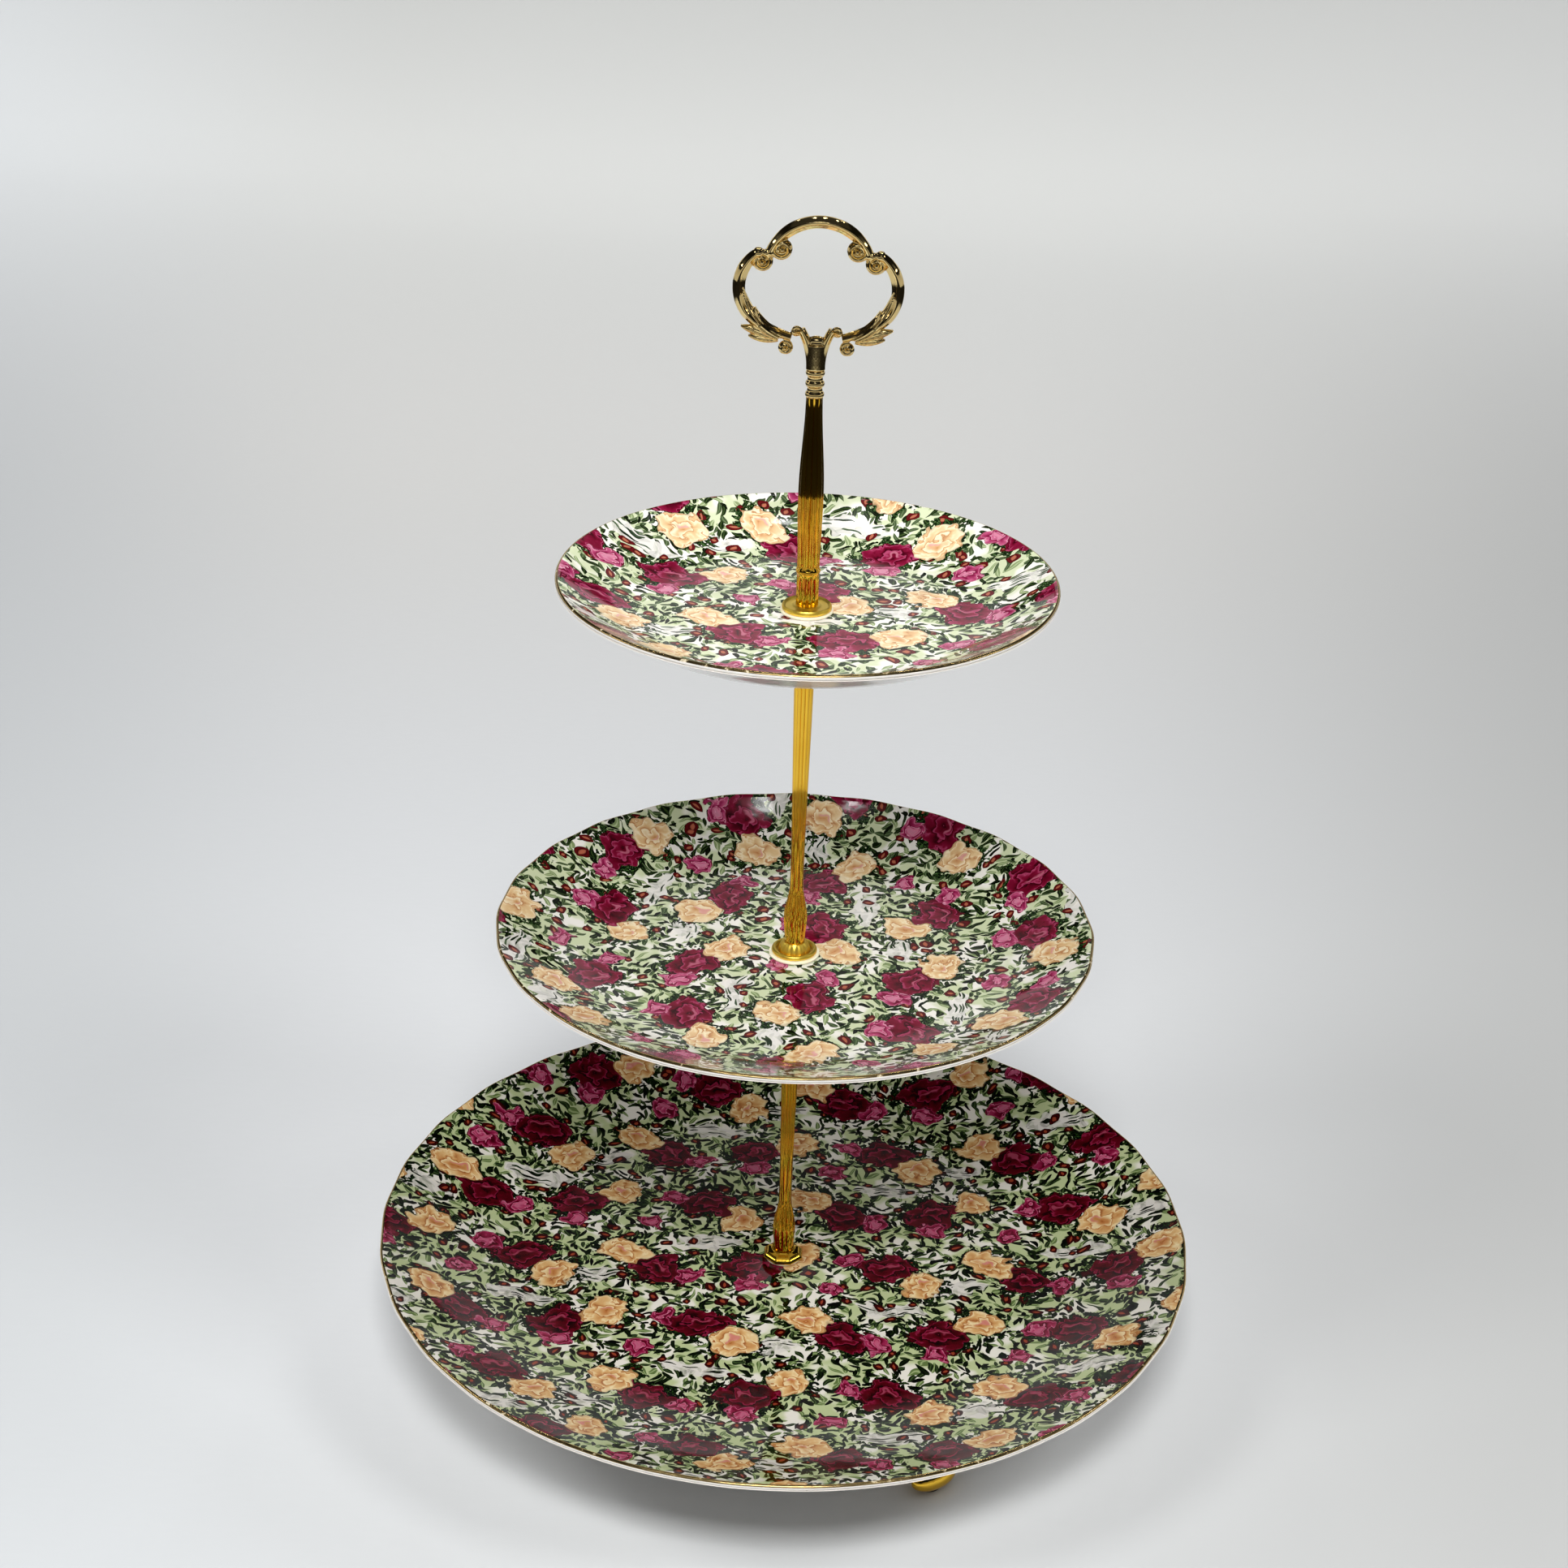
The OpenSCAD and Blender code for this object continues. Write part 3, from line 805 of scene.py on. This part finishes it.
def lower_rosette(node, gold):
    """Eight sided bevelled flange."""
    z0, z1 = bottom(node), top(node)
    r, hole_r, sides = 6.9, M4_BORE_R, 8
    profile = [(hole_r, z1), (hole_r, z0), (r - 0.9, z0), (r - 0.1, z0 + 0.3), (r, z0 + 0.6),
               (r - 0.1, z0 + 0.8), (r - 1.4, z0 + 2.1), (r - 1.6, z0 + 2.2), (4.2, z0 + 2.45),
               (3.9, z0 + 2.6), (3.75, z1)]

    def shape(radius, z, angle):
        if radius < 4:
            return radius, z
        half = math.pi / sides
        flat = radius * math.cos(half) / math.cos((angle + half) % (2 * half) - half)
        share = min(1, (radius - 4) / 1.0)
        return radius * (1 - share) + flat * share, z

    piece = revolve(node + "_metal", profile, 96, shape, closed=True)
    stand_in(piece, node, gold, sharp=25)


def middle_rosette(node, gold):
    """Dished flange with a rolled rim and a lobed dome."""
    z0, z1 = bottom(node), top(node)
    r, hole_r, roll = radius_of(node), M4_BORE_R, 0.8
    profile = [(hole_r, z1), (hole_r, z0), (r - roll, z0)]
    profile += arc_points(r - roll, z0 + roll, roll, -80, 190, 16)
    profile += [(r - 1.9, z0 + 0.55)]
    profile += [(swell(r - 2.1, 3.65, t), z0 + 0.6 + (z1 - z0 - 0.6) * math.sin(t * math.pi / 2))
                for t in steps_of(12)]

    def lobes(radius, z, angle):
        if z < z0 + 0.62 or radius < 3.66 or radius > r - 2.0:
            return radius, z
        share = math.sin(math.pi * (z - z0) / (z1 - z0))
        return radius - 0.35 * share * (1 - abs(math.cos(6 * angle))), z

    piece = revolve(node + "_metal", profile, 144, lobes, closed=True)
    stand_in(piece, node, gold, sharp=40)


def upper_rosette(node, gold):
    """Flat flange with a low raised rim and a seat for the column."""
    z0, z1 = bottom(node), top(node)
    r, hole_r, seat = radius_of(node), M4_BORE_R, z0 + 1.36
    profile = [(hole_r, seat), (hole_r, z0), (r - 0.4, z0), (r - 0.1, z0 + 0.25), (r, z0 + 0.6),
               (r, z0 + 1.1), (r - 0.15, z0 + 1.5), (r - 0.4, z1), (r - 0.65, z0 + 1.5), (r - 0.9, z0 + 1.2),
               (r - 1.1, z0 + 1.12)]
    profile += [(swell(r - 1.2, 4.6, t), z0 + 1.1 + 0.05 * t) for t in steps_of(6)]
    profile += [(4.3, z0 + 1.15), (4.0, z0 + 1.31), (3.6, seat)]
    piece = revolve(node + "_metal", profile, 120, closed=True)
    stand_in(piece, node, gold, sharp=40)


def collar(node, gold):
    """Ferrule with three raised round rings and two grooves."""
    z0, z1 = bottom(node), top(node)
    r, hole_r, ring_h, bulge = radius_of(node), M3_BORE_R, 1.8, 0.45
    groove_r = r - bulge
    span = (z1 - z0 - ring_h) / 2
    profile = [(hole_r, z1), (hole_r, z0)]
    for k in range(3):
        low = z0 + span * k
        profile += [(groove_r + bulge * math.sin(math.pi * t) ** 0.5, low + ring_h * t)
                    for t in steps_of(10)]
        if k < 2:
            profile += [(groove_r - 0.12, low + ring_h + (span - ring_h) * t) for t in (0.2, 0.8)]
    piece = revolve(node + "_metal", profile, 96, closed=True)
    stand_in(piece, node, gold, sharp=60)


def pads(node, rubber):
    """Three rubber pads with rounded edges, one under each toe."""
    verts, faces = [], []
    r, height, edge, segments = 4.0, top(node), 0.25, 40
    profile = [(0, 0), (r - edge, 0), (r, edge), (r, height - edge), (r - edge, height), (0, height)]
    for x, y in toe_places():
        pad = revolve("pad_form", profile, segments)
        base = len(verts)
        verts += [(v.co.x / MM + x, v.co.y / MM + y, v.co.z / MM) for v in pad.data.vertices]
        faces += [[base + i for i in polygon.vertices] for polygon in pad.data.polygons]
        bpy.data.objects.remove(pad)
    piece = new_mesh(node + "_rubber", verts, faces)
    stand_in(piece, node, rubber, sharp=35)


# ---- cast pieces: handle and base


class Casting:
    """Overlapping tubes, balls and leaves that are fused into one smooth cast body."""

    def __init__(self):
        self.verts, self.faces = [], []

    def loft(self, rings):
        """Closed solid through rings of points, capped at both ends."""
        base, count = len(self.verts), len(rings[0])
        for ring in rings:
            self.verts += ring
        for k in range(len(rings) - 1):
            for i in range(count):
                j = (i + 1) % count
                a, b = base + k * count, base + (k + 1) * count
                self.faces.append([a + i, a + j, b + j, b + i])
        self.faces.append([base + i for i in reversed(range(count))])
        self.faces.append([base + (len(rings) - 1) * count + i for i in range(count)])

    def tube(self, path, radii, flatten=1.0, sides=24, plane=None, keel=0.0):
        """Tube along (x, z) points. radii gives a radius for each share of the length, flatten its depth
        against its width, plane turns it about Z, and keel (0 to 1) bevels its front and back inwards."""
        rings = []
        last = len(path) - 1
        for k, (x, z) in enumerate(path):
            ax, az = path[max(0, k - 1)]
            bx, bz = path[min(last, k + 1)]
            length = math.hypot(bx - ax, bz - az) or 1
            nx, nz = -(bz - az) / length, (bx - ax) / length
            r = radii(k / last)
            ring = []
            for i in range(sides):
                a = TURN * i / sides
                share = 1 - 0.28 * keel * math.sin(2 * a) ** 2
                out = r * share * math.cos(a)
                lean = 1 - 0.55 * keel * math.cos(a)
                ring.append((x + nx * out, r * share * flatten * lean * math.sin(a), z + nz * out))
            rings.append(ring)
        self.loft([[self.turned(p, plane) for p in ring] for ring in rings])

    @staticmethod
    def turned(point, plane):
        """Point turned about Z into a plane, if there is one."""
        if plane is None:
            return point
        x, y, z = point
        return (x * math.cos(plane) - y * math.sin(plane), x * math.sin(plane) + y * math.cos(plane), z)

    def ball(self, x, z, r, depth=None, plane=None):
        """Ball, or a lozenge of another depth."""
        depth = depth or r
        rings = []
        for i in range(1, 12):
            a = math.pi * i / 12
            rings.append([self.turned((x + r * math.sin(a) * math.cos(b), depth * math.sin(a) * math.sin(b),
                                       z + r * math.cos(a)), plane)
                          for b in (TURN * j / 20 for j in range(20))])
        self.loft(rings)

    def leaf(self, root, bend, tip, width, depth):
        """Ribbed leaf along a curve from its root past a bend point to its pointed tip."""
        rings = []
        for t in steps_of(20):
            x, z = ((1 - t) ** 2 * root[i] + 2 * t * (1 - t) * bend[i] + t * t * tip[i] for i in (0, 1))
            dx, dz = (2 * (1 - t) * (bend[i] - root[i]) + 2 * t * (tip[i] - bend[i]) for i in (0, 1))
            length = math.hypot(dx, dz)
            wide = width / 2 * max(0.10, math.sin(math.pi * (0.18 + 0.80 * t)) ** 0.75)
            ring = []
            for i in range(30):
                a = TURN * i / 30
                across = wide * math.cos(a)
                rib = 1 - 0.24 * math.cos(TURN * math.cos(a)) ** 2
                thick = depth / 2 * math.sin(a) * rib * (1 - 0.45 * t)
                ring.append((x - dz / length * across, thick, z + dx / length * across))
            rings.append(ring)
        self.loft(rings)

    def mirrored(self):
        """Adds the mirror image of everything so far, in X."""
        base = len(self.verts)
        self.faces += [[base + i for i in reversed(face)] for face in self.faces]
        self.verts += [(-x, y, z) for x, y, z in self.verts]

    def fuse(self, name, voxel, rounds, lift=0.0):
        """One mesh object: voxel union of all the forms, smoothed a few rounds."""
        piece = new_mesh(name, [(x, y, z + lift) for x, y, z in self.verts], self.faces)
        remesh = piece.modifiers.new("fuse", "REMESH")
        remesh.mode = "VOXEL"
        remesh.voxel_size = voxel * MM
        relax = piece.modifiers.new("relax", "SMOOTH")
        relax.factor = 0.5
        relax.iterations = rounds
        view = bpy.context.evaluated_depsgraph_get()
        mesh = bpy.data.meshes.new_from_object(piece.evaluated_get(view))
        piece.modifiers.clear()
        old = piece.data
        piece.data = mesh
        bpy.data.meshes.remove(old)
        mesh.name = name
        mesh.shade_smooth()
        return piece


def spiral(cx, cz, r0, r1, start, turns):
    """Points of a spiral that winds in from radius r0 to r1. Start in degrees, and turns can be negative."""
    return [on_circle(cx, cz, r0 + (r1 - r0) * t, start + 360 * turns * t) for t in steps_of(36)]


def volute(cast, x, z, r, start, turns, depth=1.5):
    """Scroll end: a button with a raised coil and a centre bead."""
    cast.ball(x, z, r * 0.80, r * 0.30)
    coil = spiral(x, z, r * 0.76, r * 0.30, start, turns)
    cast.tube(coil, lambda t: r * (0.25 - 0.06 * t), depth * 1.3, 14)
    cast.ball(x, z, r * 0.30, r * 0.72)


def ring_handle(node, gold):
    """Clover ring: keeled bars that end in volutes, leaves on the lower corners and a forked neck. Places in
    it are (x, z) from the foot of the neck."""
    cast = Casting()
    bar = 1.85
    top_arc, side_arc = (0, 27.3, 15.4), (10.6, 23.5, 12.0)
    top_start, top_end, side_end = 24, 95, 56
    # Top bar and its volute
    cast.tube(arc_points(*top_arc, top_start, top_end, 30),
              lambda t: bar * (0.80 + 0.20 * ease(min(1, t * 1.8))), 1.35, keel=0.5)
    volute(cast, 10.6, 34.8, 3.7, 25, -1.2)
    # Side bar, its volute, and the bridge between the two volutes
    cast.tube(arc_points(*side_arc, -72, side_end, 44),
              lambda t: bar * (0.55 + 0.45 * min(1, math.sin(math.pi * (0.08 + 0.80 * t)) * 1.25)),
              1.35, keel=0.5)
    volute(cast, 16.2, 31.0, 3.6, 75, 1.2)
    cast.ball(13.4, 34.2, 1.5, 1.6)
    for degrees in (top_start, top_end):
        cast.ball(*on_circle(*top_arc, degrees), 1.5, 2.0)
    cast.ball(*on_circle(*side_arc, side_end), 1.6, 2.1)
    # Lower bar with its small volute
    cast.tube(arc_points(-4.46, 51.7, 44, -74.5, -60.5, 18), lambda t: 1.25 + 0.35 * t, 1.3, keel=0.4)
    volute(cast, 8.9, 6.2, 2.6, 75, 1.1, 1.3)
    # Leaves: two long ones that rise inside the ring, two lobes outside its lower corner
    cast.leaf((11.0, 9.4), (19.8, 12.5), (21.4, 23.4), 3.6, 5.4)
    cast.leaf((10.0, 9.8), (16.2, 11.4), (17.8, 17.8), 3.0, 4.8)
    cast.leaf((12.5, 9.4), (17.0, 10.8), (21.8, 12.2), 3.2, 4.6)
    cast.leaf((11.0, 8.8), (15.5, 8.6), (19.6, 9.4), 2.8, 4.0)
    # Arm of the fork, curling outwards at its tip
    cast.tube(arc_points(23.2, 0, 22.0, 148, 180, 20), lambda t: 1.25 + 0.35 * t, 1.35, keel=0.3)
    volute(cast, 5.9, 11.0, 1.9, 170, -0.9, 1.2)
    cast.mirrored()
    # Neck, with the web between the arms
    cast.tube([(0, 7.5 * t) for t in steps_of(10)], lambda t: 2.5 + 0.5 * t, 1.0, 32)
    cast.tube([(0, 6.5 + 3.4 * t) for t in steps_of(10)], lambda t: 2.6 + 1.2 * t - 3.0 * t ** 4, 0.50)
    piece = cast.fuse(node + "_cast", 0.17, 2, bottom(node))
    stand_in(piece, node, gold)


# Where the legs point, and how far out the toes stand
TOE_REACH = 87.0
LEG_TURNS = [math.radians(-56 + 120 * i) for i in range(3)]


def toe_places():
    """Where the three toes stand, as (x, y)."""
    return [(TOE_REACH * math.cos(a), TOE_REACH * math.sin(a)) for a in LEG_TURNS]


def base_spider(node, gold):
    """Hub with a moulded edge and three cast legs that end in scroll toes."""
    cast = Casting()
    hub_top = top(node)
    hub_r, hub_sides = 18, 72
    outline = [(0.01, 15), (8.6, 15), (9, 15.4), (10, 16.2), (13, hub_top - 6), (17.4, hub_top - 3.2),
               (hub_r, hub_top - 2.6), (hub_r, hub_top - 1), (17.5, hub_top - 0.3), (17, hub_top),
               (0.01, hub_top)]
    around = [TURN * i / hub_sides for i in range(hub_sides)]
    cast.loft([[(r * math.cos(a), r * math.sin(a), z) for a in around] for r, z in outline])
    # Each leg arches over a shoulder, then bends back over its ankle and down to the toe
    shoulder_r, bend, ankle_r = 45, 45, 20
    toe_h = 6.2
    sx, sz = TOE_REACH - 59, -21.5
    kx, kz = on_circle(sx, sz, shoulder_r, bend)
    ax, az = on_circle(kx, kz, ankle_r, bend)
    for plane in LEG_TURNS:
        cast.tube(arc_points(sx, sz, shoulder_r, 112, bend, 30),
                  lambda t: 3.1 + 0.4 * math.sin(math.pi * t), 1.1, 24, plane)
        cast.ball(kx, kz, 3.9, 4.6, plane)
        cast.tube(arc_points(ax, az, ankle_r, 180 + bend, 300, 20),
                  lambda t: 2.9 - 0.3 * t, 1.15, 24, plane)
        # Row of lobes down the back of the shoulder, then the scroll of the toe
        for k in range(5):
            cast.ball(*on_circle(sx, sz, shoulder_r + 3.0, 102 - 11 * k), 1.5, 3.4 - 0.25 * k, plane)
        cast.tube(spiral(TOE_REACH, toe_h, 4.1, 1.2, 250, 1.5), lambda t: 1.5 - 0.3 * t, 4.0, 24, plane)
        cast.ball(TOE_REACH, toe_h, 2.0, 7.2, plane)
        cast.ball(TOE_REACH + 2.4, 4.9, 4.2, 8.4, plane)
    piece = cast.fuse(node + "_cast", 0.45, 3)
    stand_in(piece, node, gold)


# ---- stage


def make_floor():
    """Pale sheet that runs level under the stand and curves up into a low backdrop, with painted light
    falloff in its colour.
    """
    half, front, bend_y, bend_r, wall_top = 2200, -1800, 1600, 450, 560
    section = [(front, 0), (-600, 0), (0, 0), (bend_y, 0)]
    section += [(bend_y + bend_r * math.sin(math.pi / 2 * t), bend_r * (1 - math.cos(math.pi / 2 * t)))
                for t in steps_of(24)[1:]]
    section += [(bend_y + bend_r, wall_top)]
    verts = [(x, y, z) for y, z in section for x in (-half, half)]
    faces = [[2 * k, 2 * k + 1, 2 * k + 3, 2 * k + 2] for k in range(len(section) - 1)]
    piece = new_mesh("floor", verts, faces)
    piece.data.shade_smooth()
    material, t, shader = new_material("floor_sheet_painted_falloff")
    place = object_place(t)
    weave = t.noise(t.vector("MULTIPLY", place, (0.25, 1, 1)), 0.5, 2.0)
    x, y, z = t.split(place)
    # Painted light falloff: the sheet is painted darker just in front of the stand, lighter in the middle
    # distance and darker again far back
    colour = t.mix(t.fade(y, 20, -110), srgb(220, 222, 224), srgb(205, 207, 208))
    colour = t.mix(t.fade(y, 330, 900), colour, srgb(223, 223, 221))
    colour = t.mix(t.fade(y, 850, 1500), colour, srgb(203, 204, 202))
    colour = t.mix(t.fade(y, 1500, 2000), colour, srgb(188, 189, 187))
    # How far to the side of the camera's view, as a slope. Painted shade darkens the sheet towards the
    # sides, most to the right
    side = t.math("DIVIDE", x, t.math("MAXIMUM", t.math("ADD", y, -CAMERA_PLACE[1] / MM), 400))
    colour = t.mix(t.fade(side, 0.04, 0.36), colour, srgb(190, 191, 190))
    colour = t.mix(t.fade(side, -0.14, -0.36), colour, srgb(206, 209, 211))
    t.put(shader["Base Color"], t.mix(t.times(weave, 0.10), colour, srgb(190, 192, 194)))
    shader["Roughness"].default_value = 0.8
    shader["Specular IOR Level"].default_value = 0.1
    piece.data.materials.append(material)


def make_flag(name, height, inner, width):
    """Black studio card round the front and sides of the stand that only glossy rays see. It fades in over
    a width outside its inner radius, and out towards the back."""
    outer, back, segments = 3500, 420, 96
    ring = [(r * math.cos(TURN * i / segments), r * math.sin(TURN * i / segments), height)
            for r in (inner, outer) for i in range(segments)]
    faces = [[i, (i + 1) % segments, segments + (i + 1) % segments, segments + i] for i in range(segments)]
    piece = new_mesh(name, ring, faces)
    material, t, shader = new_material(name + "_card")
    place = object_place(t)
    weave = t.noise(place, 0.02, 2.0)
    t.put(shader["Base Color"], t.mix(weave, srgb(14, 13, 12), srgb(26, 24, 22)))
    x, y, _ = t.split(place)
    beside = t.fade(t.math("ABSOLUTE", x), 400, 500)
    shown = t.math("MAXIMUM", t.fade(y, back, back - 240), beside)
    outside = t.fade(t.flat_length(place), inner, inner + width)
    t.put(shader["Alpha"], t.times(outside, shown))
    shader["Roughness"].default_value = 0.9
    shader["Specular IOR Level"].default_value = 0.1
    piece.data.materials.append(material)
    for ray in ("camera", "diffuse", "shadow", "transmission", "volume_scatter"):
        setattr(piece, "visible_" + ray, False)


def make_plates(gold_line, white, bare):
    """The three plates, each with its own cut of the print and its own painted shade."""
    group = make_print()
    # Node, washer over it, depth, thickness, waves of the lip, and the print's turn, shift, and painted
    # shade as a gamma and a grey tone, heaviest on the bottom plate
    looks = [
        ("bottom_plate", "lower_soft_washer", 13.9, 4.0, 30, 0, (6, 4, 0), 1.75, 0.70),
        ("middle_plate", "middle_soft_washer", 11.4, 3.6, 24, 96, (14, -9, 0), 1.25, 0.80),
        ("top_plate", "upper_soft_washer", 11.2, 3.2, 0, 12, (-20, 17, 0), 1.12, 1.0),
    ]
    for node, seal, depth, thickness, waves, degrees, shift, painted_shade_gamma, painted_shade_tone in looks:
        look = print_material(group, node + "_print", degrees, shift, painted_shade_gamma, painted_shade_tone)
        plate(node, seal, depth, thickness, waves, look, white, gold_line, bare)


def make_stand():
    """Every piece of the stand, with its material."""
    pale_gold = gold_material("gold_pale", srgb(246, 222, 160), srgb(240, 208, 136))
    gold = gold_material("gold_deep", srgb(242, 198, 72), srgb(232, 178, 48))
    satin_gold = gold_material("gold_satin", srgb(250, 220, 100), srgb(244, 204, 74), 0.34)
    steel, soft, rubber = steel_material(), soft_material(), rubber_material()
    make_plates(rim_material(), white_material(), bisque_material())
    for node in ("lower_column", "middle_column"):
        column(node, gold)
    upper_column("upper_column", gold)
    threaded("middle_stud", 0.7, steel)
    threaded("top_stud", 0.7, steel)
    threaded("handle_stud", 0.5, steel)
    threaded("base_screw", 0.7, steel, head=(4.0, 2.4, 1.3))
    for node in ("lower_soft_washer", "middle_soft_washer", "upper_soft_washer"):
        washer(node, M4_BORE_R, soft)
    for node in ("middle_support_washer", "top_support_washer"):
        washer(node, 2.2, gold)
    for node in ("bottom_bush", "middle_bush", "top_bush"):
        bush(node, soft)
    lower_rosette("lower_rosette", gold)
    middle_rosette("middle_rosette", satin_gold)
    upper_rosette("upper_rosette", satin_gold)
    collar("handle_collar", pale_gold)
    ring_handle("ring_handle", pale_gold)
    base_spider("base_spider", gold)
    pads("foot_pads", rubber)


make_camera()
make_lights()
make_world()
make_floor()
make_flag("high_flag", 1000, 430, 170)
make_flag("low_flag", 2, 600, 200)
make_stand()
